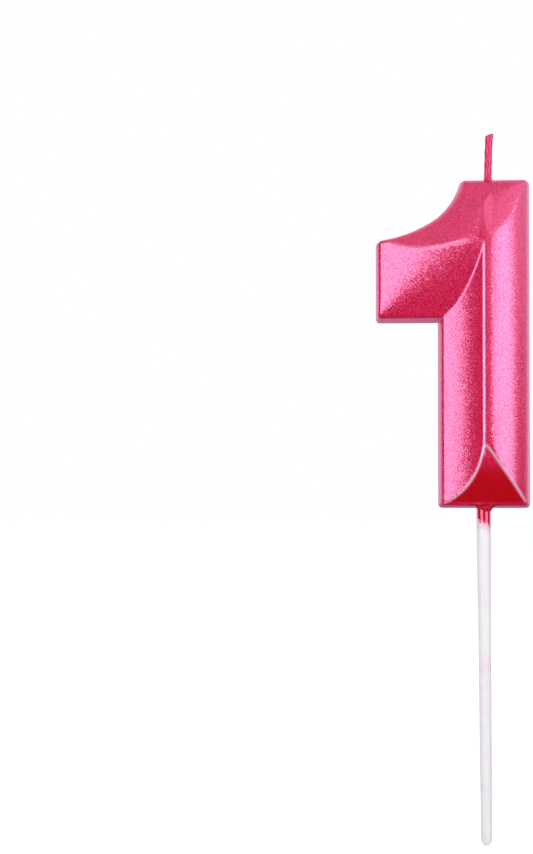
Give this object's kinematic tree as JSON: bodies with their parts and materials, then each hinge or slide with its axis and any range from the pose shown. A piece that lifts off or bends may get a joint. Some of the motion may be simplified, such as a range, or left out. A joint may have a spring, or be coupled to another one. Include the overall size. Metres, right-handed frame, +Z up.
{
  "type": "number birthday candle",
  "caption": "Digit one birthday candle: moulded wax numeral with a bevelled metallic front, cotton wick at the top and a white plastic pick below.",
  "frame": {"origin": "lowest edge of the digit's underside, on the pick's axis: the plane of the cake's top when the pick is pushed in", "axes": "+Z up the digit towards the wick, -Y towards the bevelled front, +X to the right as the digit is read"},
  "size_m": [0.0332, 0.012, 0.1516],
  "materials": {
    "wax_metallic_rose": "metallic rose paint with fine sparkle on wax",
    "cotton": "twisted cotton",
    "wick_paint": "painted wax",
    "pick_white": "white plastic with a painted top",
    "bead_paint": "glossy set wax and paint"
  },
  "bodies": {
    "root": {"candle_body": "wax_metallic_rose", "wick_yarns": "cotton", "wick_sleeve": "wick_paint", "pick": "pick_white", "seal_bead": "bead_paint"}
  },
  "joints": []
}
